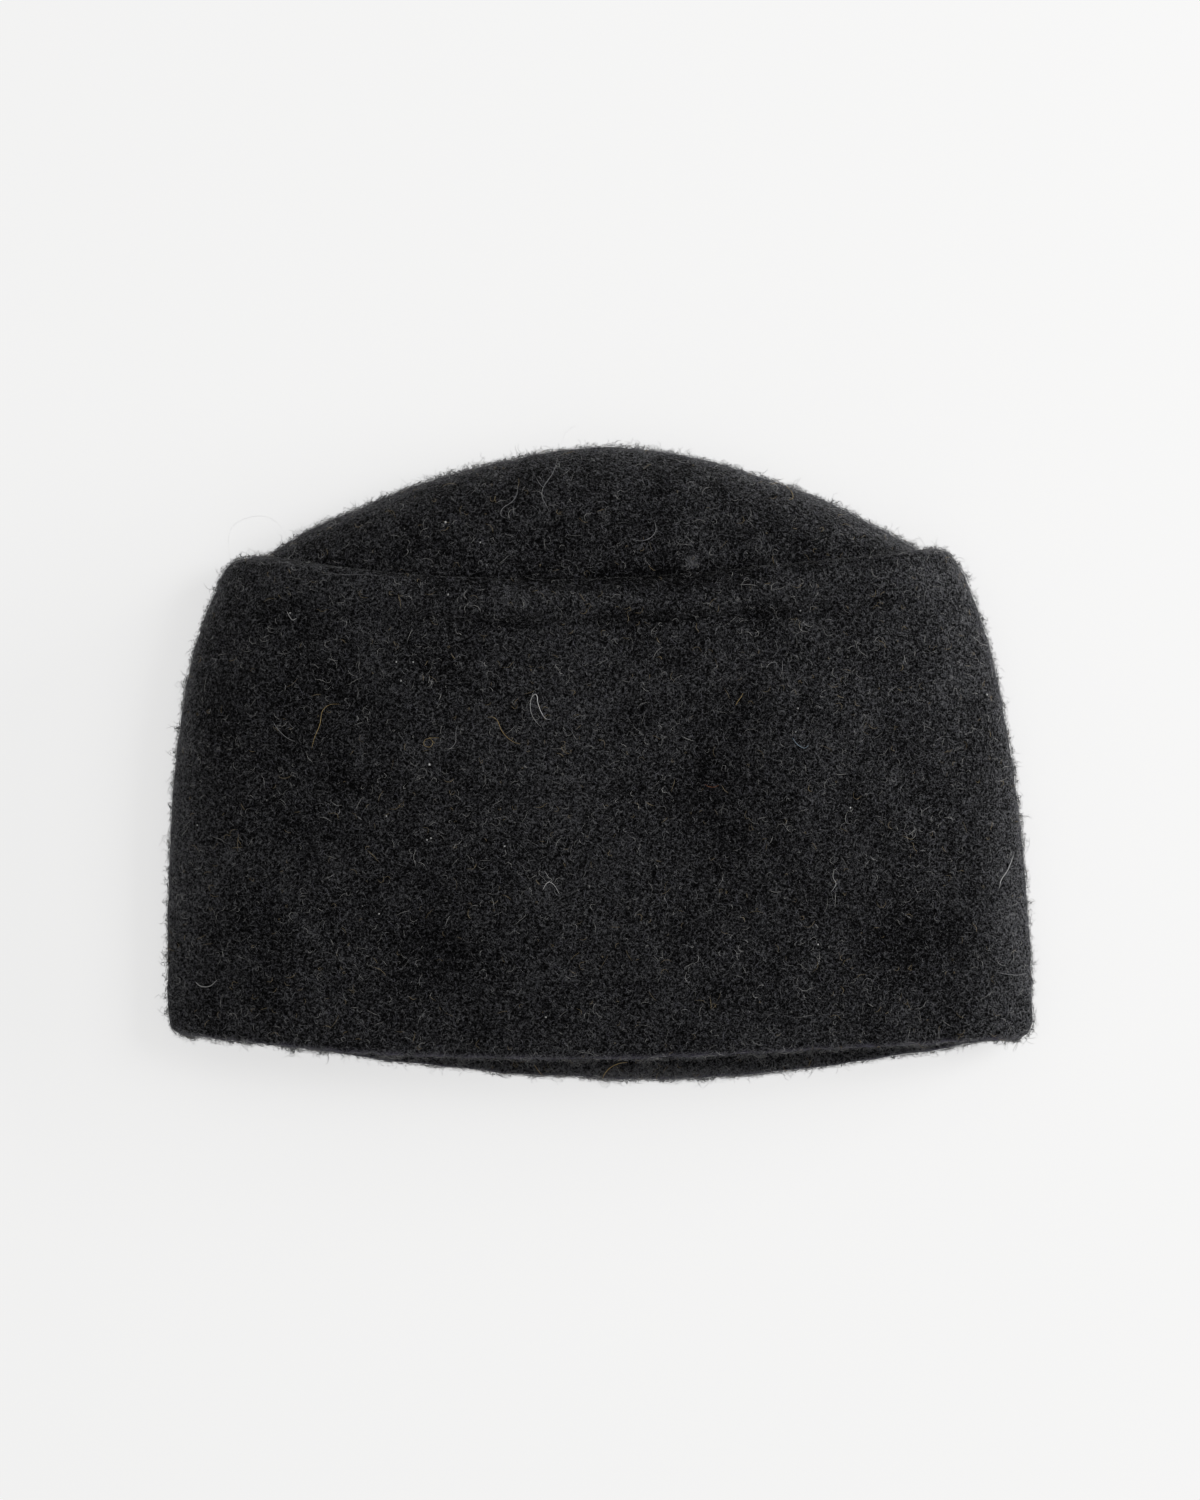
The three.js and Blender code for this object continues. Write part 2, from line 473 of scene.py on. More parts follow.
@dataclass(frozen=True)
class FeltFinish:
    """The matted surface of the felt: curled strands over dark gaps, mottled more widely, with painted shade
    in the gaps and a painted highlight on the raised strands and clumps.
    """

    name: str
    strand_mm: float = 1.15
    clump_mm: float = 1.25
    speck_mm: float = 0.55
    mottle_mm: float = 11.0
    curl_mm: float = 1.6
    bump_mm: float = 0.45
    strand_width: float = 0.22
    clump_high: float = 0.45
    strand_high: float = 0.3
    speck_high: float = 0.6
    clump_range: tuple[float, float] = (0.3, 0.72)
    speck_range: tuple[float, float] = (0.3, 0.7)
    mottle_share: float = 0.25
    tone_and_painted_shading_share: float = 0.3
    wool_range: tuple[float, float] = (0.38, 0.98)
    worn_and_painted_light_range: tuple[float, float] = (0.7, 1.4)
    hem_share: float = 0.6

    def material(self) -> bpy.types.Material:
        """Build the material."""
        shader = Shader(self.name)
        at = shader.places()
        curl = shader.node(
            "ShaderNodeTexNoise", {}, {"Vector": at, "Scale": 1 / (self.curl_mm * MM), "Detail": 2.0}, "Color"
        )
        centred = shader.node("ShaderNodeVectorMath", {"operation": "SUBTRACT"}, [curl, (0.5, 0.5, 0.5)])
        settings = {"operation": "MULTIPLY_ADD"}
        bend = (self.curl_mm * MM,) * 3
        curled = shader.node("ShaderNodeVectorMath", settings, [centred, bend, at])
        net = shader.node(
            "ShaderNodeTexVoronoi",
            {"feature": "DISTANCE_TO_EDGE"},
            {"Vector": curled, "Scale": 1 / (self.strand_mm * MM)},
            "Distance",
        )
        strands = 1 - net.between(0.0, self.strand_width)
        clumps = shader.grain(at, self.clump_mm, 3.0).between(*self.clump_range)
        specks = shader.grain(curled, self.speck_mm, 2.0).between(*self.speck_range)
        mottle = shader.grain(at, self.mottle_mm, 3.0)
        tone = shader.node("ShaderNodeAttribute", {"attribute_name": "tone"}, [], "Fac")
        fray = shader.node("ShaderNodeAttribute", {"attribute_name": "fray"}, [], "Fac")
        # the colour follows the relief as well as the bump: painted shade where it is low, a painted
        # highlight where it is high
        relief = clumps * self.clump_high + strands * self.strand_high + specks * self.speck_high
        # the vertex attribute adds painted light and shade round the hat to the wool's own lighter and darker
        # stretches
        shade = relief + (mottle - 0.5) * self.mottle_share + tone * self.tone_and_painted_shading_share
        wool = shader.mix(shade.between(*self.wool_range), Tones.GAP_AND_PAINTED_SHADE, Tones.BODY)
        worn_and_painted_light = shader.mix(shade.between(*self.worn_and_painted_light_range), wool, Tones.WORN_AND_PAINTED_LIGHT)
        bump = {"Distance": self.bump_mm * MM, "Height": relief}
        return shader.finish(
            {
                "Base Color": shader.mix(fray * self.hem_share, worn_and_painted_light, Tones.HEM),
                "Roughness": 0.95,
                "Specular IOR Level": 0.0,
                "Sheen Weight": 0.25,
                "Sheen Roughness": 0.3,
                "Normal": shader.node("ShaderNodeBump", {}, bump, "Normal"),
            }
        )


@dataclass(frozen=True)
class StrandFinish:
    """The finish of loose wool strands of one shade."""

    name: str
    color: tuple[float, float, float]

    def material(self) -> bpy.types.Material:
        """Build the material."""
        return Shader(self.name).finish(
            {"Base Color": self.color, "Roughness": 0.8, "Specular IOR Level": 0.1}
        )


@dataclass(frozen=True)
class FloorFinish:
    """Matte white sheet, a little lit from below."""

    name: str = "pale_floor"
    glow: float = 0.6

    def material(self) -> bpy.types.Material:
        """Build the material."""
        shader = Shader(self.name)
        return shader.finish(
            {
                "Base Color": Tones.FLOOR,
                "Roughness": 0.9,
                "Specular IOR Level": 0.0,
                "Emission Color": (1.0, 1.0, 1.0),
                "Emission Strength": self.glow,
            }
        )


def ride(piece: bpy.types.Object, material: bpy.types.Material) -> bpy.types.Object:
    """Give a piece its finish and let it ride on the hat's body."""
    piece.data.materials.append(material)
    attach(piece, BODY)
    return piece


def mesh_object(name: str, vertices: np.ndarray, faces: np.ndarray, smooth: bool) -> bpy.types.Object:
    """Make a mesh object from arrays.

    Args:
        name: The object's name.
        vertices: Points, in millimetres.
        faces: Rows of vertex numbers, all of one length.
        smooth: Whether its faces are shaded smooth.

    Returns:
        The new object, linked to the scene.
    """
    mesh = bpy.data.meshes.new(name)
    count, sides = faces.shape
    mesh.vertices.add(len(vertices))
    mesh.vertices.foreach_set("co", (vertices * MM).astype(np.float32).ravel())
    mesh.loops.add(count * sides)
    mesh.loops.foreach_set("vertex_index", faces.astype(np.int32).ravel())
    mesh.polygons.add(count)
    mesh.polygons.foreach_set("loop_start", np.arange(0, count * sides, sides, dtype=np.int32))
    mesh.polygons.foreach_set("loop_total", np.full(count, sides, dtype=np.int32))
    mesh.polygons.foreach_set("use_smooth", np.full(count, smooth, dtype=bool))
    mesh.update(calc_edges=True)
    mesh.validate()
    made = bpy.data.objects.new(name, mesh)
    bpy.context.scene.collection.objects.link(made)
    return made


class Shell:
    """A felt piece as a fine closed mesh through its sections."""

    DRIFT_MM, DRIFT = 13.0, 0.32
    FRONT_Z_MM, FRONT_RAMP_MM = 6.0, 6.0
    SEAM_Y_MM = 35.0
    # painted light on the steep felt low round the folds, where they turn to the lamps and the floor
    RIM_PAINTED_LIGHT = 0.8
    RIM_START, RIM_SPAN = 0.84, 0.5  # upward parts of the felt's normal
    RIM_TOP_MM, RIM_FADE_MM = 19.0, 3.0
    # painted light on the back wall's lip below the front hem, which lies in the front wall's shadow
    LIP_PAINTED_LIGHT = 1.3
    LIP_Y_MM, LIP_RAMP_MM, LIP_HIGH_MM = -100.5, 3.0, 8.0
    RAGGED_MM, RAGGED_HIGH_MM = 5.0, 9.0
    RAGGED_LEVEL, RAGGED_SWING = 0.8, 1.6
    RAGGED_RANGE = (0.1, 1.5)
    EDGE_MM, EDGE_HIGH_MM, EDGE_SWING_MM = 4.3, 9.0, 0.6
    SLOW_EDGE_MM, SLOW_EDGE_SWING_MM = 11.0, 0.2
    CAP_V = 0.02

    def __init__(self, name: str) -> None:
        """Keep the piece's name."""
        self.name = name
        self.rings: list[np.ndarray] = []
        self.tones_and_painted_shading: list[float] = []
        self.frays: list[float] = []

    def add(self, ring: np.ndarray, tone: float = 0.0, fray: float = 0.0) -> None:
        """Add a section's points, how light its felt is painted, with its own lighter or darker felt and with
        painted light and shade, and how frayed it is.
        """
        self.rings.append(ring)
        self.tones_and_painted_shading.append(tone)
        self.frays.append(fray)

    def paint_tone_and_shading(self, piece: bpy.types.Object) -> None:
        """Write on each vertex how light the felt is painted there, with its own lighter or darker felt and
        with painted light and shade, and how frayed it is, for the finish and the nap.

        Args:
            piece: The mesh object, whose first vertices are those of the sections.
        """
        mesh = piece.data
        places = self.vertices()
        tones_and_painted_shading, frays = np.zeros((2, len(mesh.vertices)))
        tones_and_painted_shading[: len(places)] = self.ring_tones_and_painted_shading(places) + self.front_tones_and_painted_shading(places)
        tones_and_painted_shading += self.painted_edge_light(mesh)
        frays[: len(places)] = self.ring_frays(places)
        for name, values in (("tone", tones_and_painted_shading), ("fray", frays)):
            layer = mesh.attributes.new(name, "FLOAT", "POINT")
            layer.data.foreach_set("value", values.astype(np.float32))

    def ring_tones_and_painted_shading(self, places: np.ndarray) -> np.ndarray:
        """Return each section's painted light and shade, and its own lighter or darker felt, on its points,
        with the painted shade of the seam's dark band faded towards the folds.
        """
        tones_and_painted_shading = np.repeat(self.tones_and_painted_shading, len(self.rings[0]))
        faded = (tones_and_painted_shading < 0) & (places[:, 1] > self.SEAM_Y_MM)
        tones_and_painted_shading[faded] *= seam_share(places[faded])[:, 0]
        return tones_and_painted_shading

    def front_tones_and_painted_shading(self, places: np.ndarray) -> np.ndarray:
        """Return the spots of painted light and shade and of the wool's own lighter and darker stretches, and
        the random drift of the wool's lightness, which fade out below the folds.
        """
        front = np.clip((places[:, 2] - self.FRONT_Z_MM) / self.FRONT_RAMP_MM, 0, 1)
        drift = np.array([noise.noise(Vector(p) / self.DRIFT_MM) for p in places])
        patches = sum(spot.at(places[:, 0], places[:, 1]) for spot in TONE_AND_PAINTED_SHADING_SPOTS)
        return (patches + drift * self.DRIFT) * front

    def painted_edge_light(self, mesh: bpy.types.Mesh) -> np.ndarray:
        """Return the light painted into the felt round the outline, where the folds turn to the lamps and the
        floor, and along the back wall's hem, which lies in the front wall's shadow.
        """
        facing, level = read(mesh.vertices, "normal", 3), read(mesh.vertices, "co", 3)
        y, z = level[:, 1] / MM, level[:, 2] / MM
        steep = np.clip((self.RIM_START - np.abs(facing[:, 2])) / self.RIM_SPAN, 0, 1)
        rim = steep * np.clip((self.RIM_TOP_MM - z) / self.RIM_FADE_MM, 0, 1) * self.RIM_PAINTED_LIGHT
        low = np.clip(1 - z / self.LIP_HIGH_MM, 0, 1)
        return rim + np.clip((self.LIP_Y_MM - y) / self.LIP_RAMP_MM, 0, 1) * low * self.LIP_PAINTED_LIGHT

    def ring_frays(self, places: np.ndarray) -> np.ndarray:
        """Return how frayed each point is, which varies raggedly along the hem."""
        spots = [Vector((p[0] / self.RAGGED_MM, 2.0, p[2] / self.RAGGED_HIGH_MM)) for p in places]
        ragged = np.array([noise.noise(spot) for spot in spots])
        share = np.clip(self.RAGGED_LEVEL + self.RAGGED_SWING * ragged, *self.RAGGED_RANGE)
        return np.repeat(self.frays, len(self.rings[0])) * share

    def vertices(self) -> np.ndarray:
        """Return the points of all the sections in one array."""
        return np.concatenate(self.rings)

    def faces(self, closed: bool) -> np.ndarray:
        """Join neighbouring sections with four-sided faces.

        Args:
            closed: Whether the last section joins the first.

        Returns:
            Rows of vertex numbers.
        """
        count = len(self.rings[0])
        strips = len(self.rings) if closed else len(self.rings) - 1
        here = np.arange(strips)[:, None] * count
        after = (np.arange(strips)[:, None] + 1) % len(self.rings) * count
        i = np.arange(count)[None, :]
        j = (i + 1) % count
        return np.stack([here + i, here + j, after + j, after + i], axis=-1).reshape(-1, 4)

    def roughened(self, piece: bpy.types.Object, frayed_y: float | None) -> None:
        """Push each vertex out or in by the felt's lumps, and never below the surface it lies on.

        Args:
            piece: The mesh object to change.
            frayed_y: Where a cut hem starts, below which the edge wanders more, or None.
        """
        mesh = piece.data
        for vertex, normal in zip(mesh.vertices, [v.normal.copy() for v in mesh.vertices]):
            at = vertex.co / MM
            out = Lumps.height(at)
            if frayed_y is not None and at.y < frayed_y:
                edge = noise.noise(Vector((at.x / self.EDGE_MM, 0.0, at.z / self.EDGE_HIGH_MM)))
                slow_edge = noise.noise(Vector((at.x / self.SLOW_EDGE_MM, 4.0, 0.0)))
                vertex.co.y += (self.EDGE_SWING_MM * edge + self.SLOW_EDGE_SWING_MM * slow_edge) * MM
            vertex.co += normal * out * MM
            vertex.co.z = max(vertex.co.z, 0.0)
        mesh.update()

    def unwrapped(self, piece: bpy.types.Object, quads: int) -> None:
        """Lay the piece's faces out flat: round the hat along U, and from section to section along V.

        Args:
            piece: The mesh object.
            quads: How many of its faces come from the sections, before any end caps.
        """
        mesh = piece.data
        layer = mesh.uv_layers.new(name="OFBake")
        count = len(self.rings[0])
        strips = quads // count
        square = np.arange(quads)
        i, r = square % count, square // count
        corners_u = np.stack([i, i + 1, i + 1, i], axis=-1) / count
        corners_v = np.stack([r, r, r + 1, r + 1], axis=-1) / strips
        inside_v = self.CAP_V + corners_v * (1 - 2 * self.CAP_V)
        flat = np.stack([corners_u, inside_v], axis=-1).reshape(-1, 2)
        caps = len(mesh.loops) - len(flat)
        if caps:
            k = np.arange(caps // 3)
            ends = np.where(k < count, 0.0, 1.0)
            side = k % count
            cap_u = np.stack([side + 0.5, side + 1, side], axis=-1) / count
            inner = np.where(ends > 0, 1 - self.CAP_V, self.CAP_V)
            cap_v = np.stack([ends, inner, inner], axis=-1)
            flat = np.concatenate([flat, np.stack([cap_u, cap_v], axis=-1).reshape(-1, 2)])
        layer.data.foreach_set("uv", flat.astype(np.float32).ravel())


@dataclass
class SideBand:
    """The tall band of the hat, with its turned-in seam allowance and its plain cut hem."""

    pattern: Pattern
    steps: Steps = Steps()
    fullness: float = 3.2
    hem_round: float = 2.0
    hem_run: float = 2.6
    # the cut hem's lighter felt: partly its own colour, partly painted light on the back hem, which lies in
    # the front wall's shadow
    hem_tone_and_painted_light: float = 0.9
    # painted shade on the inside of the band, in the hat's hollow
    inside_painted_shade: float = -0.6
    ridge_sides: float = 0.3
    frayed_mm: float = 1.5
    left_ear: float = 0.7
    right_ear: float = 1.1
    shape: tuple = (
        ShapeRow(0, 121.6, 115.2, 29.4),
        ShapeRow(10, 126.2, 121.2, 29.8),
        ShapeRow(22, 131.5, 126.2, 30.0),
        ShapeRow(46, 137.2, 132.5, 29.2),
        ShapeRow(80, 140.8, 138.0, 27.2),
        ShapeRow(118, 142.5, 141.5, 24.2),
        ShapeRow(145, 142.5, 142.7, 21.5),
        ShapeRow(152, 142.1, 142.8, 20.8),
        ShapeRow(155, 141.0, 141.7, 20.4),
        ShapeRow(157.4, 138.2, 138.6, 20.2),
    )
    ridge: tuple = (
        RidgeRow(0, -1.0, 1.0, 1.0, -0.6),
        RidgeRow(0.7, -0.8, 0.62, 2.0, -0.65),
        RidgeRow(2, -0.25, 0.25, 3.0, -0.6),
        RidgeRow(4, 0.5, 0.08, 2.4, -0.3),
        RidgeRow(6.5, 1.2, 0, 1.2, 0.05),
        RidgeRow(9, 1.5, 0, 0.6, 0.2),
        RidgeRow(11.5, 1.1, 0, 0, 0.15),
        RidgeRow(13, 0.2, 0, 0, -0.05),
        RidgeRow(14.5, -0.5, 0, 0, -0.2),
        RidgeRow(16.3, -0.2, 0, 0, -0.15),
        RidgeRow(18, 0, 0, 0, 0),
    )
    plain_ridge: tuple = (
        RidgeRow(0, -0.7, 1.0, 1.0, 0),
        RidgeRow(0.7, -0.4, 0.62, 2.0, 0),
        RidgeRow(2, 0.1, 0.25, 3.0, 0),
        RidgeRow(4, 0.55, 0.08, 2.4, 0),
        RidgeRow(7, 0.9, 0, 1.1, 0),
        RidgeRow(10.5, 0.8, 0, 0.3, 0),
        RidgeRow(14, 0.45, 0, 0, 0),
        RidgeRow(18, 0, 0, 0, 0),
    )
    allowance: tuple = (
        AllowanceRow(0, 1.6, 1.0),
        AllowanceRow(6, 2.0, 0.2),
        AllowanceRow(11.5, 1.8, 0),
        AllowanceRow(13, 0.2, 0),
        AllowanceRow(16, 0, 0),
    )

    def section(self, down: float, inset: float = 0.0, ridge: tuple | None = None) -> Section:
        """Return the band's section at a distance from the seam.

        Args:
            down: The distance from the seam.
            inset: How far in from the outer face it is, up to the felt's thickness.
            ridge: The ridge's table, or None for the one with the groove below it.

        Returns:
            The section.
        """
        pattern, outside = self.pattern, inset == 0
        ridge = ridge or self.ridge
        rise = column(ridge, "rise", down) if outside else 0.0
        ear = column(ridge, "ear", down) if outside else 0.0
        draw = column(ridge if outside else self.allowance, "draw", down)
        drop = 0.0 if outside else column(self.allowance, "drop", down)
        share = down / pattern.band_depth
        sides = inset * pattern.fold_felt / pattern.felt - rise * self.ridge_sides * (1 - draw)
        return Section(
            left=lerp(column(self.shape, "left", down), pattern.end_left, draw) - sides,
            right=lerp(column(self.shape, "right", down), pattern.end_right, draw) - sides,
            left_y=pattern.between("left", share) + ear * self.left_ear,
            right_y=pattern.between("right", share) + ear * self.right_ear,
            front_y=pattern.between("front", share),
            back_y=pattern.between("back", share),
            front_lean=pattern.between("front_lean", share),
            back_lean=pattern.between("back_lean", share),
            sag=pattern.between("sag", share),
            top=column(self.shape, "top", down) + rise - inset - drop,
            floor=inset + max(0.0, -rise),
            fold=pattern.fold_height,
            run=pattern.fold_run - inset,
            fullness=self.fullness,
        )

    def ring(self, down: float, inset: float = 0.0, ridge: tuple | None = None) -> np.ndarray:
        """Return the points of the band's section at a distance from the seam."""
        return self.section(float(down), inset, ridge).points(self.steps)

    def shell(self) -> Shell:
        """Return the band's sections: down the outside, round the hem and up the inside."""
        shell = Shell("band_shell")
        depth, felt = self.pattern.band_depth, self.pattern.felt
        ridge_end, allowance_end = self.ridge[-1].down, self.allowance[-1].down
        for down in np.linspace(0, ridge_end, 37):
            grooved, plain = self.ring(down), self.ring(down, ridge=self.plain_ridge)
            # painted shade in the grooves beside the ridge and painted light on its crest
            tone = column(self.ridge, "tone", float(down))
            shell.add(lerp(plain, grooved, seam_share(grooved)), tone)
        for down in np.linspace(ridge_end, depth - self.hem_run, 110)[1:]:
            shell.add(self.ring(down))
        for turn in np.radians((15, 30, 45, 60, 75, 90)):
            down = depth - self.hem_run * (1 - math.sin(turn))
            edge = math.sin(turn) ** 3
            shell.add(self.ring(down, self.hem_round * (1 - math.cos(turn))), self.hem_tone_and_painted_light * edge, edge)
        inner = felt - self.hem_round
        for turn in np.radians((60, 30, 0)):
            down = depth - inner * (1 - math.sin(turn))
            shell.add(self.ring(down, felt - inner * (1 - math.cos(turn))), self.hem_tone_and_painted_light, math.sin(turn))
        inside = (
            *np.linspace(depth - inner, allowance_end, 22)[1:],
            *np.linspace(allowance_end, 0, 11)[1:],
        )
        for down in inside:
            shell.add(self.ring(down, felt), self.inside_painted_shade)
        return shell

    def build(self, finish: FeltFinish) -> bpy.types.Object:
        """Build the band in place of its plain solid."""
        shell = self.shell()
        faces = shell.faces(closed=True)
        piece = mesh_object(shell.name, shell.vertices(), faces, smooth=True)
        shell.unwrapped(piece, len(faces))
        shell.paint_tone_and_shading(piece)
        shell.roughened(piece, frayed_y=self.pattern.hem.left + self.frayed_mm)
        ride(piece, finish.material())
        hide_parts("side_band")
        log.info("side band: %d faces", len(faces))
        return piece


@dataclass
class CrownTip:
    """The domed tip, sewn inside the band's top edge."""

    pattern: Pattern
    steps: Steps = Steps()
    top: float = 28.2
    nose: tuple[float, float, float] = (4.0, 104.3, 11.5)
    fullness_rim: float = 2.8
    fullness_nose: float = 2.0
    outline_power: float = 1.68
    end_power: float = 8.0
    left_share: float = 0.09
    right_share: float = 0.04
    front_power: float = 0.85
    under_power: float = 0.5
    rim_depth: float = 0.7
    rim_width: float = 1.6
    # painted shade on the tip beside the seam, in the valley under the band's ridge
    seam_painted_shade: float = -0.4
    seam_reach: float = 5.0
    level_dip: float = 0.2
    dip_top: float = 24.0
    dip_fade: float = 6.0

    def section(self, degrees: float, inset: float, dipped: float = 1.0) -> Section:
        """Return the tip's section at an angle from the seam, 0, to the nose, 90 degrees.

        Args:
            degrees: The angle.
            inset: How far in from the outer face it is.
            dipped: How much of the dip beside the seam it has.

        Returns:
            The section.
        """
        pattern = self.pattern
        near, far = math.cos(math.radians(degrees)), math.sin(math.radians(degrees))
        nose_x, nose_z = self.nose[0], self.nose[2]
        nose_y = self.nose[1] - inset
        fold_gap = inset * pattern.fold_felt / pattern.felt
        falls = [
            lerp(near**self.outline_power, near**self.end_power, share)
            for share in (self.left_share, self.right_share)
        ]
        front_y = lerp(pattern.seam.front, nose_y, far**self.front_power)
        dip = self.rim_depth * dipped * math.exp((pattern.seam.front - front_y) / self.rim_width)
        dip = 0.0 if inset else dip
        return Section(
            left=lerp(-nose_x, pattern.end_left - fold_gap - dip, near),
            right=lerp(nose_x, pattern.end_right - fold_gap - dip, near),
            left_y=lerp(nose_y, pattern.seam.left, falls[0]),
            right_y=lerp(nose_y, pattern.seam.right, falls[1]),
            front_y=front_y,
            back_y=lerp(pattern.seam.back, nose_y, far**self.under_power),
            front_lean=pattern.seam.front_lean,
            back_lean=pattern.seam.back_lean,
            sag=pattern.seam.sag,
            top=lerp(nose_z, self.top - inset, near) - dip,
            floor=lerp(nose_z, inset, near) + dip,
            fold=lerp(nose_z, pattern.fold_height, near),
            run=pattern.fold_run - inset,
            fullness=lerp(self.fullness_nose, self.fullness_rim, near),
        )

    def shell(self) -> Shell:
        """Return the tip's sections: from the nose to the seam outside, and back inside."""
        shell = Shell("tip_shell")
        outer = (*np.linspace(88.5, 6, 44), *np.linspace(4.5, 0, 10))
        for degrees in outer:
            section = self.section(float(degrees), 0.0)
            dipped = section.points(self.steps)
            level = self.section(float(degrees), 0.0, self.level_dip).points(self.steps)
            low = np.clip((self.dip_top - dipped[:, 2:]) / self.dip_fade, 0, 1)
            beyond = section.front_y - self.pattern.seam.front
            tone = self.seam_painted_shade * math.exp(-beyond / self.seam_reach)
            shell.add(lerp(level, dipped, np.maximum(low, seam_share(dipped))), tone)
        for degrees in np.linspace(0, 86, 24):
            shell.add(self.section(float(degrees), self.pattern.felt).points(self.steps))
        return shell

    def build(self, finish: FeltFinish) -> bpy.types.Object:
        """Build the tip in place of its plain solid."""
        shell = self.shell()
        quads = shell.faces(closed=False)
        nose = np.array(self.nose)
        poles = np.stack([nose, nose - (0, self.pattern.felt, 0)])
        vertices = np.concatenate([shell.vertices(), poles])
        count, last = len(shell.rings[0]), len(shell.rings) - 1
        piece = mesh_object(shell.name, vertices, quads, smooth=True)
        self.cap(piece, count, last)
        shell.unwrapped(piece, len(quads))
        shell.paint_tone_and_shading(piece)
        shell.roughened(piece, frayed_y=None)
        ride(piece, finish.material())
        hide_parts("crown_tip")
        log.info("crown tip: %d faces", len(quads) + 2 * count)
        return piece

    @staticmethod
    def cap(piece: bpy.types.Object, count: int, last: int) -> None:
        """Close the outer and inner noses with a fan of triangles each.

        Args:
            piece: The tip's object, whose last two vertices are the noses.
            count: The number of points in a ring.
            last: The number of the last ring.
        """
        edit = bmesh.new()
        edit.from_mesh(piece.data)
        edit.verts.ensure_lookup_table()
        first = len(edit.verts) - 2
        for pole, start, turned in ((first, 0, False), (first + 1, last * count, True)):
            for i in range(count):
                pair = [start + (i + 1) % count, start + i]
                corners = [pole, *(reversed(pair) if turned else pair)]
                edit.faces.new([edit.verts[c] for c in corners]).smooth = True
        edit.to_mesh(piece.data)
        edit.free()


class Ground:
    """The hat's outer felt, to spread wool over."""

    def __init__(self, pieces: list[bpy.types.Object]) -> None:
        """Gather the triangles of the pieces in one set of arrays.

        Args:
            pieces: The felt shells.
        """
        corners, normals, tones_and_painted_shading, frays = [], [], [], []
        for piece in pieces:
            mesh = piece.data
            mesh.calc_loop_triangles()
            triangles = read(mesh.loop_triangles, "vertices", 3, np.int32)
            corners.append(read(mesh.vertices, "co", 3)[triangles].astype(float) / MM)
            normals.append(read(mesh.vertices, "normal", 3)[triangles].astype(float))
            tones_and_painted_shading.append(read(mesh.attributes["tone"].data, "value")[triangles].mean(axis=1))
            frays.append(read(mesh.attributes["fray"].data, "value")[triangles].mean(axis=1))
        self.corners = np.concatenate(corners)
        self.normals = np.concatenate(normals)
        self.tones_and_painted_shading = np.concatenate(tones_and_painted_shading)
        self.frays = np.concatenate(frays)
        side_a = self.corners[:, 1] - self.corners[:, 0]
        side_b = self.corners[:, 2] - self.corners[:, 0]
        self.areas = np.linalg.norm(np.cross(side_a, side_b), axis=1) / 2
        self.middles = self.corners.mean(axis=1)
        self.facing = self.normals.mean(axis=1)
        tree_points = [Vector(p) for p in self.corners.reshape(-1, 3)]
        tree_faces = [(k, k + 1, k + 2) for k in range(0, len(tree_points), 3)]
        self.tree = BVHTree.FromPolygons(tree_points, tree_faces)

    def inside(self, chosen: np.ndarray, rng: np.random.Generator) -> tuple[np.ndarray, np.ndarray]:
        """Choose a place in each of the given triangles.

        Args:
            chosen: The triangles' numbers.
            rng: The random numbers.

        Returns:
            The places and the felt's normals there.
        """
        a, b = rng.random((2, len(chosen)))
        a, b = np.where(a + b > 1, 1 - a, a), np.where(a + b > 1, 1 - b, b)
        parts = np.stack([1 - a - b, a, b], axis=1)[:, :, None]
        places = (self.corners[chosen] * parts).sum(axis=1)
        normals = (self.normals[chosen] * parts).sum(axis=1)
        return places, normals / np.linalg.norm(normals, axis=1, keepdims=True)

    def seen(self, across: float, down: float) -> Vector:
        """Return the place on the felt or the floor that the camera sees at a pixel of the photograph.

        Args:
            across: The pixel's column.
            down: The pixel's row.

        Returns:
            The place.
        """
        eye = Vector((*Studio.AIM_MM, Studio.CAMERA_MM))
        x = Studio.AIM_MM[0] + (across - PHOTO_WIDTH_PX / 2) * PHOTO_MM_PER_PX
        y = Studio.AIM_MM[1] - (down - PHOTO_HEIGHT_PX / 2) * PHOTO_MM_PER_PX
        way = (Vector((x, y, Studio.FOLD_MM)) - eye).normalized()
        hit = self.tree.ray_cast(eye, way)
        return hit[0] if hit[0] else eye + way * (eye.z / -way.z)


class Part(Enum):
    """A stretch of the felt that carries its own share of the wool."""

    FRONT = "front"
    EDGES = "edges"
    RIM = "rim"
    UNDER = "under"
    LIP = "lip"
    INSIDE = "inside"


@dataclass(frozen=True)
class Coat:
    """How the loose wool lies on one part of the felt."""

    part: Part
    share: float
    height_mm: float


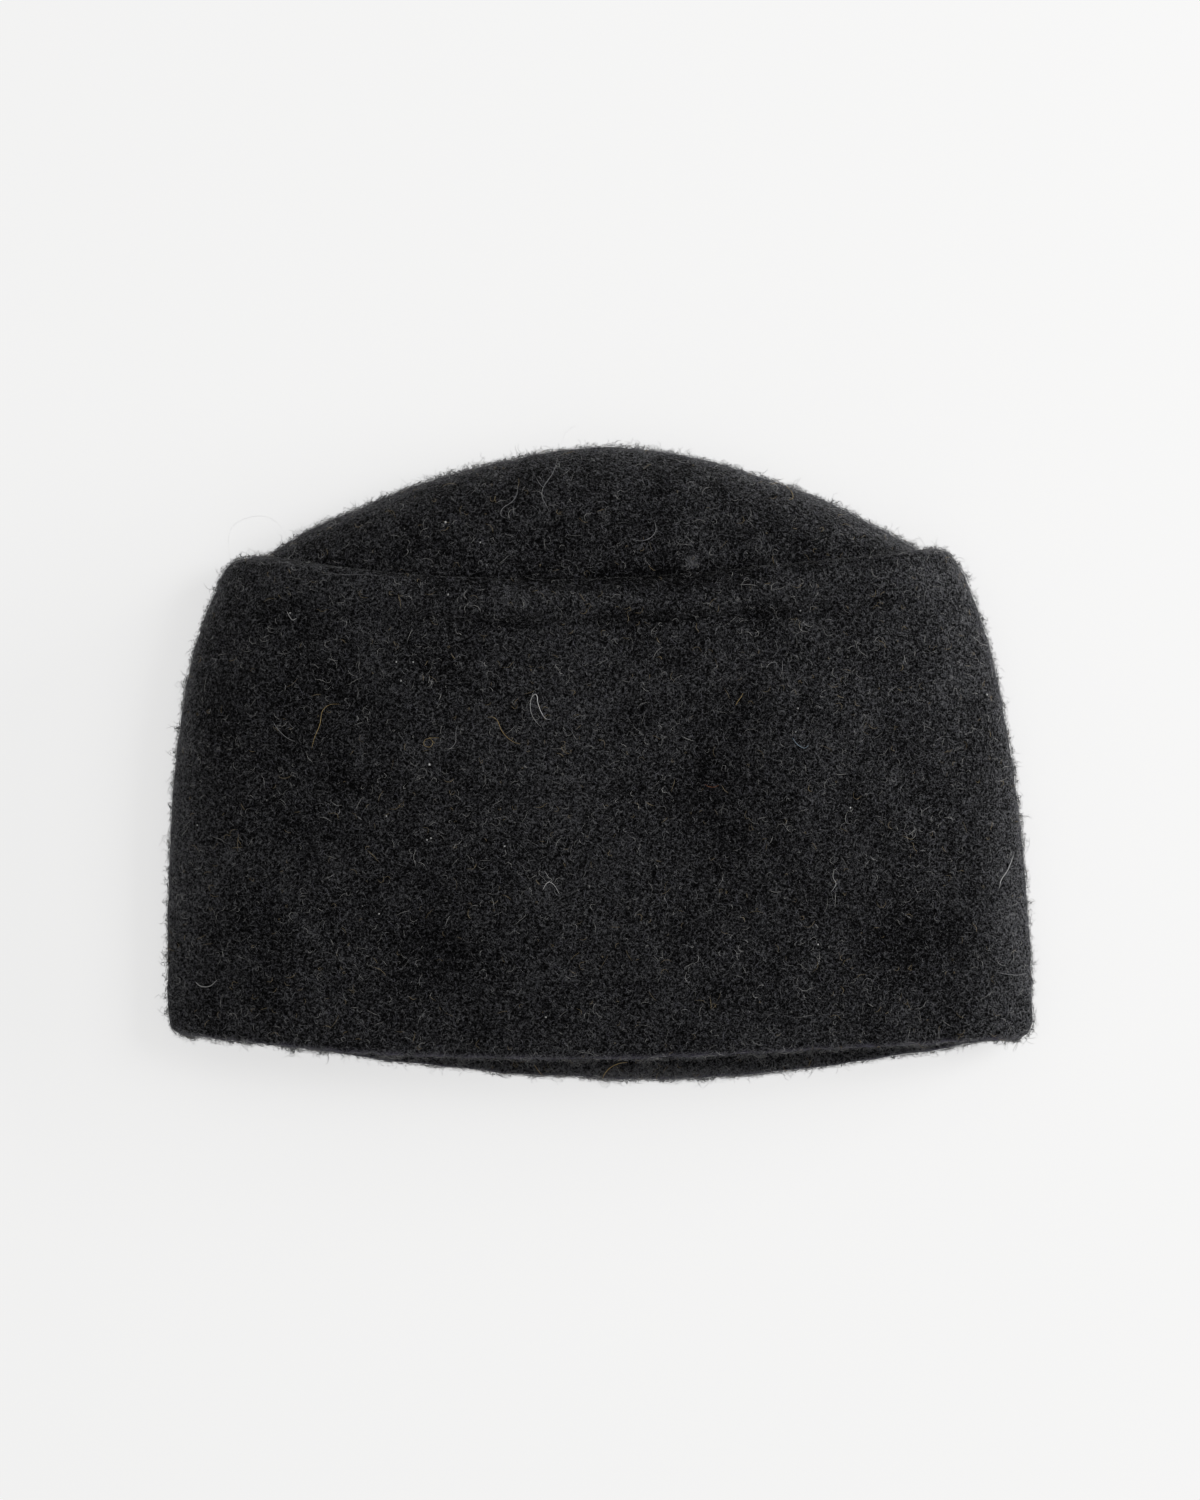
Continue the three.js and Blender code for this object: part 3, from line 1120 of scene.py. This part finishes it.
class Wool:
    """Loose strands as closed three-sided threads, pointed at both ends."""

    SIDES = 3
    UPRIGHT = 0.9  # a thread steeper than this takes its sides from X instead of Z
    TINY = 1e-9

    @staticmethod
    def threads(paths: np.ndarray, radii: np.ndarray) -> tuple[np.ndarray, np.ndarray]:
        """Turn paths into thin closed threads.

        Args:
            paths: Points of each path, as strands by points by three, in millimetres.
            radii: The radius of each strand.

        Returns:
            The vertices and the triangles.
        """
        strands, points, _ = paths.shape
        ahead = np.gradient(paths, axis=1)
        ahead /= np.linalg.norm(ahead, axis=2, keepdims=True) + Wool.TINY
        up = np.where(np.abs(ahead[..., 2:3]) > Wool.UPRIGHT, (1.0, 0.0, 0.0), (0.0, 0.0, 1.0))
        side = np.cross(ahead, up)
        side /= np.linalg.norm(side, axis=2, keepdims=True) + Wool.TINY
        lift = np.cross(side, ahead)
        inner = slice(1, points - 1)
        share = np.linspace(0, 1, points)[inner]
        width = radii[:, None] * np.sqrt(np.sin(np.pi * share))[None, :]
        turns = 2 * np.pi * np.arange(Wool.SIDES) / Wool.SIDES
        ring = (
            paths[:, inner, None, :]
            + (width[..., None] * np.cos(turns))[..., None] * side[:, inner, None, :]
            + (width[..., None] * np.sin(turns))[..., None] * lift[:, inner, None, :]
        )
        rings = points - 2
        per = rings * Wool.SIDES + 2
        vertices = np.concatenate(
            [ring.reshape(strands, -1, 3), paths[:, :1], paths[:, -1:]], axis=1
        ).reshape(-1, 3)
        pattern = []
        for r in range(rings - 1):
            for i in range(Wool.SIDES):
                j = (i + 1) % Wool.SIDES
                a, b = r * Wool.SIDES + i, r * Wool.SIDES + j
                pattern += [(a, b, b + Wool.SIDES), (a, b + Wool.SIDES, a + Wool.SIDES)]
        start, end, last = per - 2, per - 1, (rings - 1) * Wool.SIDES
        for i in range(Wool.SIDES):
            j = (i + 1) % Wool.SIDES
            pattern += [(start, j, i), (end, last + i, last + j)]
        offsets = (np.arange(strands) * per)[:, None, None]
        return vertices, (np.array(pattern)[None] + offsets).reshape(-1, 3)


@dataclass(frozen=True)
class Nap:
    """One shade of loose wool: its strands' number, sizes, curl and where they grow."""

    LENGTHS = (0.6, 1.0, 1.3)
    LENGTH_CHANCES = (0.3, 0.5, 0.2)
    TURN_SHARE = 0.5
    ROOT_MM = 0.06

    name: str
    color: tuple[float, float, float]
    count: int
    length_mm: tuple[float, float]
    radius_mm: float
    bend: float
    height: float
    points: int
    # how strongly the strands gather where the felt is painted lighter, both by painted light and by its own
    # lighter felt; with a negative number they gather in painted shade and darker felt
    likes_tone_and_painted_shading: float
    free: tuple[float, float] = (-0.2, 0.9)
    parts: tuple[Part, ...] = tuple(Part)
    frays: float = 0.0
    tufts: float = 0.0

    def paths(
        self, places: np.ndarray, normals: np.ndarray, high: np.ndarray, rng: np.random.Generator
    ) -> np.ndarray:
        """Curl a strand from each place along the felt.

        Args:
            places: Where the strands are rooted.
            normals: The felt's normals there.
            high: How high each strand arches.
            rng: The random numbers.

        Returns:
            The paths, as strands by points by three.
        """
        count = len(places)
        guide = rng.normal(size=(count, 3))
        along = guide - (guide * normals).sum(axis=1, keepdims=True) * normals
        along /= np.linalg.norm(along, axis=1, keepdims=True)
        across = np.cross(normals, along)
        length = rng.uniform(*self.length_mm, count)
        length *= rng.choice(self.LENGTHS, count, p=self.LENGTH_CHANCES)
        bend = rng.normal(0, self.bend, count)
        turn = rng.normal(0, self.bend * self.TURN_SHARE, count)
        share = np.linspace(0, 1, self.points)
        step = 1 / (self.points - 1)
        middle = (share[:-1] + share[1:]) / 2
        angle = bend[:, None] * (middle - 0.5) + turn[:, None] * np.sin(2 * np.pi * middle)
        forward = self.run(np.cos(angle) * step, length)
        sideways = self.run(np.sin(angle) * step, length)
        free = rng.uniform(*self.free, (count, 1))
        arch = np.sin(np.pi * share)[None] + free * share[None] ** 2
        lift = high[:, None] * arch - self.ROOT_MM
        return (
            places[:, None]
            + forward[..., None] * along[:, None]
            + sideways[..., None] * across[:, None]
            + lift[..., None] * normals[:, None]
        )

    @staticmethod
    def run(steps: np.ndarray, length: np.ndarray) -> np.ndarray:
        """Add up a strand's steps in one direction, about its middle.

        Args:
            steps: The steps, as strands by steps, for a strand of length one.
            length: Each strand's length.

        Returns:
            How far along each of the strand's points lies.
        """
        run = np.concatenate([np.zeros((len(steps), 1)), np.cumsum(steps, axis=1)], axis=1)
        return (run - run.mean(axis=1, keepdims=True)) * length[:, None]


OUTLINE = (Part.RIM,)


@dataclass
class Fuzz:
    """The loose wool over the whole hat, thick on what shows and thin where the felt lies flat."""

    coats: tuple = (
        Coat(Part.FRONT, 1.0, 0.42),
        Coat(Part.EDGES, 1.2, 0.6),
        Coat(Part.RIM, 1.3, 0.75),
        Coat(Part.UNDER, 0.12, 0.12),
        Coat(Part.LIP, 1.3, 0.5),
        Coat(Part.INSIDE, 0.03, 0.25),
    )
    naps: tuple = (
        Nap("nap_black", (0.004, 0.004, 0.005), 5400, (1.4, 3.2), 0.09, 1.6, 1.0, 4, -1.2),
        Nap("nap_charcoal", (0.1, 0.1015, 0.111), 13000, (1.6, 3.8), 0.06, 1.7, 1.0, 4, 0.3),
        Nap("nap_slate", (0.196, 0.196, 0.227), 15000, (1.5, 3.6), 0.055, 1.8, 1.1, 4, 0.8, frays=1.2),
        Nap("nap_grey", (0.372, 0.375, 0.385), 15500, (1.4, 3.4), 0.048, 1.9, 1.2, 4, 1.0, frays=1.6),
        Nap("nap_pale", (0.66, 0.655, 0.64), 2600, (2.0, 5.5), 0.052, 1.7, 1.5, 6, 1.0, frays=2.0),
        Nap("nap_warm", (0.48, 0.39, 0.25), 900, (1.8, 5.0), 0.055, 1.7, 1.5, 6, 0.5),
        Nap(
            "halo_fine", (0.19, 0.19, 0.193), 6600, (1.0, 2.8), 0.078, 2.6, 1.5, 5, 0.0,
            free=(0.2, 1.6), parts=OUTLINE, frays=2.6, tufts=2.2,
        ),
        Nap(
            "halo_long", (0.24, 0.24, 0.24), 2400, (2.0, 5.0), 0.055, 3.4, 1.8, 6, 0.0,
            free=(0.4, 3.2), parts=OUTLINE, frays=2.6, tufts=1.6,
        ),
    )
    floor_gap_mm: float = 0.12
    under_up: float = -0.75
    under_high: float = 3.0
    rim_up: float = 0.35
    edges_up: float = 0.75
    hollow_mm: float = 34.0
    clear_mm: float = 0.4
    wall_mm: float = 1.5
    least_spread: float = 0.3
    lip_y: float = -88.0
    hem_y: float = -95.5
    hem_high: float = 7.0
    rim_high: float = 22.0
    tuft_mm: float = 2.6
    tuft_rise: float = 0.8
    tuft_range: tuple[float, float] = (0.3, 2.0)
    high_range: tuple[float, float] = (0.25, 1.0)
    radius_range: tuple[float, float] = (0.7, 1.15)

    def part_of(self, ground: Ground) -> dict[Part, np.ndarray]:
        """Tell the parts of the felt apart.

        Args:
            ground: The felt.

        Returns:
            A mask of the triangles for each part.
        """
        y, z, up = ground.middles[:, 1], ground.middles[:, 2], ground.facing[:, 2]
        inside = self.enclosed(ground)
        under = ~inside & (up < self.under_up) & (z < self.under_high)
        low = ~inside & ~under & (z < self.rim_high)
        rim = low & (np.abs(up) < self.rim_up)
        lip = (inside & (y < self.lip_y)) | (~under & ~rim & (y < self.hem_y) & (z < self.hem_high))
        edges = low & ~rim & (np.abs(up) < self.edges_up) & ~lip
        return {
            Part.INSIDE: inside & ~lip,
            Part.LIP: lip,
            Part.UNDER: under,
            Part.RIM: rim,
            Part.EDGES: edges,
            Part.FRONT: ~inside & ~under & ~edges & ~rim & ~lip,
        }

    def enclosed(self, ground: Ground) -> np.ndarray:
        """Return which triangles line the hollow: those that soon meet felt in front of them."""
        found = np.zeros(len(ground.middles), bool)
        for k, (middle, facing) in enumerate(zip(ground.middles, ground.facing)):
            way = Vector(facing).normalized()
            hit = ground.tree.ray_cast(Vector(middle) + way * self.clear_mm, way, self.hollow_mm)
            found[k] = hit[0] is not None and hit[3] > self.wall_mm
        return found

    def build(self, ground: Ground, rng: np.random.Generator) -> None:
        """Grow each shade of the wool on the felt.

        Args:
            ground: The felt.
            rng: The random numbers.
        """
        parts = self.part_of(ground)
        high_at = sum(parts[coat.part] * coat.height_mm for coat in self.coats)
        tufts = np.array([noise.noise(Vector(middle) / self.tuft_mm) for middle in ground.middles])
        level = np.clip(ground.facing[:, 2], self.least_spread, 1)
        spread = ground.areas * np.where(parts[Part.FRONT], level, 1)
        for nap in self.naps:
            shares = sum(parts[coat.part] * coat.share for coat in self.coats if coat.part in nap.parts)
            frayed = 1 + nap.frays * ground.frays
            # pale strands gather on painted light and black strands in painted shade, as well as on lighter
            # and darker felt
            liked = np.exp(nap.likes_tone_and_painted_shading * ground.tones_and_painted_shading + nap.tufts * tufts)
            chance = spread * shares * frayed * liked
            chosen = rng.choice(len(chance), size=nap.count, p=chance / chance.sum())
            places, normals = ground.inside(chosen, rng)
            high = high_at[chosen] * rng.uniform(*self.high_range, nap.count) * nap.height
            high *= np.clip(1 + self.tuft_rise * tufts[chosen], *self.tuft_range)
            paths = nap.paths(places, normals, high, rng)
            paths[..., 2] = np.maximum(paths[..., 2], self.floor_gap_mm)
            radii = nap.radius_mm * rng.uniform(*self.radius_range, nap.count)
            vertices, faces = Wool.threads(paths, radii)
            piece = mesh_object(nap.name, vertices, faces, smooth=False)
            ride(piece, StrandFinish(nap.name, nap.color).material())
            log.info("%s: %d strands, %d triangles", nap.name, nap.count, len(faces))


class Lint(Enum):
    """The colours of the stray hairs and specks."""

    WHITE = (0.95, 0.95, 0.95)
    PALE = (0.6, 0.6, 0.62)
    BLUE = (0.55, 0.7, 0.85)
    GOLD = (0.8, 0.6, 0.3)
    RUST = (0.5, 0.2, 0.1)


@dataclass(frozen=True)
class Hair:
    """One stray hair: its colour and the photograph's pixels that it runs through."""

    OVER_MM, SWAY_MM = 0.55, 0.2
    SWAYS = 9  # how far round the sway goes from end to end, in radians

    lint: Lint
    radius_mm: float
    pixels: tuple[tuple[float, float], ...]

    def path(self, ground: Ground, points: int) -> np.ndarray:
        """Return the hair's path, lying just over the felt.

        Args:
            ground: The felt.
            points: The number of points.

        Returns:
            The path's points.
        """
        knots = np.array(self.pixels, float)
        ends = np.concatenate([2 * knots[:1] - knots[1:2], knots, 2 * knots[-1:] - knots[-2:-1]])
        at = np.linspace(0, len(knots) - 1, points)
        i = np.minimum(at.astype(int), len(knots) - 2)
        t = (at - i)[:, None]
        a, b, c, d = ends[i], ends[i + 1], ends[i + 2], ends[i + 3]
        bent = t**2 * (a - 2.5 * b + 2 * c - d / 2) + t**3 * (1.5 * (b - c) + (d - a) / 2)
        path = np.array([ground.seen(*pixel) for pixel in b + t * (c - a) / 2 + bent])
        path[:, 2] += self.OVER_MM + self.SWAY_MM * np.sin(np.linspace(0, self.SWAYS, points))
        return path


@dataclass
class StrayHairs:
    """Pale and coloured hairs, and white specks of a given size at a pixel of the photograph."""

    points: int = 18
    speck_over_mm: float = 0.5
    speck_reach: float = 0.5
    speck_curl: float = 0.3
    speck_radius: float = 0.85
    hairs: tuple = (
        Hair(
            Lint.WHITE,
            0.115,
            (
                (552, 719), (546, 719), (541, 712), (537.5, 702), (537, 695.5),
                (533.5, 695), (530.5, 702), (531, 712), (535.5, 721), (542, 727.5),
            ),
        ),
        Hair(
            Lint.GOLD,
            0.085,
            ((487, 717.5), (493, 717), (498, 721.5), (502, 731), (508, 738), (515, 742.5), (521, 744)),
        ),
        Hair(Lint.PALE, 0.085, ((457.5, 724), (456, 732.5), (455.5, 742.5), (450, 749), (444.5, 750.5))),
        Hair(
            Lint.GOLD,
            0.08,
            ((440, 738), (431, 738), (425, 740), (424, 745), (430, 747), (433, 742), (428, 736)),
        ),
        Hair(Lint.GOLD, 0.08, ((311.5, 750), (314.5, 738), (320, 724), (322, 712), (329, 705), (340, 704))),
        Hair(Lint.WHITE, 0.12, ((542, 891), (546, 884), (550, 882), (555, 886), (560, 895))),
        Hair(Lint.WHITE, 0.12, ((195, 981), (201, 986), (210, 986), (218, 979))),
        Hair(Lint.GOLD, 0.15, ((601, 1082), (605, 1073), (611, 1067), (620, 1063), (628, 1062))),
        Hair(Lint.GOLD, 0.09, ((534, 1064), (538, 1070), (543, 1076))),
        Hair(Lint.PALE, 0.085, ((559, 454), (553, 473), (544, 486), (542, 496), (546, 505), (551, 514))),
        Hair(Lint.PALE, 0.085, ((536, 478), (540, 484), (544, 488))),
        Hair(Lint.PALE, 0.085, ((518, 484), (517, 494), (512, 502), (503, 508), (501, 515), (507, 519))),
        Hair(Lint.PALE, 0.085, ((629, 538), (640, 541), (650, 538), (656, 530), (654, 519))),
        Hair(Lint.WHITE, 0.12, ((287, 611), (290, 617), (293, 620), (297, 618))),
        Hair(Lint.PALE, 0.085, ((272, 720), (278, 729), (286, 737), (296, 742))),
        Hair(Lint.PALE, 0.085, ((766, 669), (769, 664), (775, 662), (778, 667))),
        Hair(Lint.BLUE, 0.11, ((792, 737), (797, 744), (804, 748), (809, 745))),
        Hair(Lint.WHITE, 0.11, ((834, 869), (833, 877), (836, 884), (831, 892))),
        Hair(Lint.WHITE, 0.11, ((999, 889), (1001, 880), (1008, 869), (1014, 853))),
        Hair(Lint.PALE, 0.085, ((996, 972), (1006, 974), (1017, 975), (1028, 973))),
        Hair(Lint.GOLD, 0.08, ((770, 485), (776, 483), (784, 485), (791, 491), (793, 498), (788, 500))),
        Hair(Lint.RUST, 0.085, ((704, 784), (709, 786.5), (714, 787), (719, 785))),
        Hair(Lint.PALE, 0.085, ((782, 660), (782.5, 667), (782, 673))),
        Hair(Lint.GOLD, 0.08, ((735, 706), (738, 701), (741, 697), (743, 693))),
        Hair(Lint.PALE, 0.045, ((314, 571), (335, 574), (360, 574.5), (384, 576))),
        Hair(Lint.PALE, 0.03, ((230, 560), (229, 535), (238, 522), (258, 516), (275, 521), (290, 540))),
        Hair(Lint.PALE, 0.03, ((561, 445), (565, 434), (571, 428), (577, 426))),
    )
    specks: tuple = (
        (446, 522, 0.3), (448, 595, 0.34), (290, 613, 0.3), (401, 681, 0.3), (480, 543, 0.26),
        (800, 611, 0.3), (987, 695, 0.34), (798, 708, 0.26), (796, 732, 0.24), (379, 914, 0.3),
        (505, 846, 0.28), (546, 1017, 0.3), (386, 816, 0.26), (850, 808, 0.28), (818, 944, 0.28),
        (197, 825, 0.28), (396, 662, 0.26), (413, 662, 0.26), (430, 764, 0.36), (427, 839, 0.36),
        (431, 838, 0.3),
    )

    def build(self, ground: Ground, rng: np.random.Generator) -> None:
        """Lay the hairs and the specks on the felt, as one piece for each colour.

        Args:
            ground: The felt.
            rng: The random numbers.
        """
        for lint in Lint:
            chosen = [hair for hair in self.hairs if hair.lint is lint]
            paths = [hair.path(ground, self.points) for hair in chosen]
            radii = [hair.radius_mm for hair in chosen]
            if lint is Lint.WHITE:
                for across, down, size in self.specks:
                    ends = rng.normal(0, 1, (2, 3)) * size * self.speck_reach
                    at = np.array(ground.seen(across, down)) + (0, 0, self.speck_over_mm)
                    curl = rng.normal(0, size * self.speck_curl, (self.points, 3))
                    paths.append(at + np.linspace(ends[0], ends[1], self.points) + curl)
                    radii.append(size * self.speck_radius)
            vertices, faces = Wool.threads(np.array(paths), np.array(radii))
            name = f"lint_{lint.name.lower()}"
            ride(mesh_object(name, vertices, faces, smooth=True), StrandFinish(name, lint.value).material())
            log.info("%s: %d strands", name, len(paths))


@dataclass(frozen=True)
class Softbox:
    """A soft lamp that faces the hat: its power, its sides and its place, in metres."""

    name: str
    watts: float
    wide_m: float
    tall_m: float
    at_m: tuple[float, float, float]


class Studio:
    """The pale floor, the soft light and the camera straight above the hat."""

    CAMERA_MM = 1400.0
    FOLD_MM = 8.5
    AIM_MM = (0.17, 4.62)
    SENSOR_MM = 36.0
    FLOOR_M = 6.0
    FLOOR_DROP_M = 0.0001
    SKY = 0.22
    SKY_COLOR = (1.0, 0.995, 0.98)
    LAMPS = (
        Softbox("low_lamp", 34.0, 2.0, 0.6, (2.6, 0.6, 0.33)),
        Softbox("high_lamp", 14.5, 1.4, 1.2, (2.3, 0.9, 1.5)),
    )

    def floor(self) -> None:
        """Lay the floor just under the hat."""
        half = self.FLOOR_M / 2
        mesh = bpy.data.meshes.new("floor")
        corners = [(-half, -half, 0), (half, -half, 0), (half, half, 0), (-half, half, 0)]
        mesh.from_pydata(corners, [], [(0, 1, 2, 3)])
        floor = bpy.data.objects.new("floor", mesh)
        floor.location.z = -self.FLOOR_DROP_M
        mesh.materials.append(FloorFinish().material())
        bpy.context.scene.collection.objects.link(floor)

    def light(self) -> None:
        """Light the scene with a white sky and two large soft lamps from the right, one low and one high."""
        world = bpy.data.worlds.new("white_sky")
        world.use_nodes = True
        world.node_tree.nodes["Background"].inputs["Color"].default_value = (*self.SKY_COLOR, 1)
        world.node_tree.nodes["Background"].inputs["Strength"].default_value = self.SKY
        bpy.context.scene.world = world
        for softbox in self.LAMPS:
            lamp = bpy.data.lights.new(softbox.name, "AREA")
            lamp.energy = softbox.watts
            lamp.shape = "RECTANGLE"
            lamp.size, lamp.size_y = softbox.wide_m, softbox.tall_m
            light = bpy.data.objects.new(softbox.name, lamp)
            light.location = softbox.at_m
            light.rotation_euler = (-light.location).to_track_quat("-Z", "Y").to_euler()
            bpy.context.scene.collection.objects.link(light)

    def camera(self) -> None:
        """Look straight down from above, with the photograph's frame at the height of the folds."""
        lens = bpy.data.cameras.new("camera")
        lens.sensor_width = self.SENSOR_MM
        lens.lens = self.SENSOR_MM * (self.CAMERA_MM - self.FOLD_MM) / (PHOTO_HEIGHT_PX * PHOTO_MM_PER_PX)
        camera = bpy.data.objects.new("camera", lens)
        camera.location = Vector((*self.AIM_MM, self.CAMERA_MM)) * MM
        bpy.context.scene.collection.objects.link(camera)
        bpy.context.scene.camera = camera

    def build(self) -> None:
        """Set up the whole studio."""
        self.camera()
        self.floor()
        self.light()
        bpy.context.scene.view_settings.view_transform = "Standard"


def main() -> None:
    """Set up the studio and dress the hat: its felt, loose wool and stray hairs."""
    logging.basicConfig(level=logging.INFO, format="%(message)s")
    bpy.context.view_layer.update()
    rng = np.random.default_rng(SEED)
    Studio().build()
    pattern = Pattern()
    felt = FeltFinish("charcoal_felt")
    shells = [SideBand(pattern).build(felt), CrownTip(pattern).build(felt)]
    bpy.context.view_layer.update()
    ground = Ground(shells)
    Fuzz().build(ground, rng)
    StrayHairs().build(ground, rng)
    bpy.context.view_layer.update()


if __name__ == "__main__":
    main()
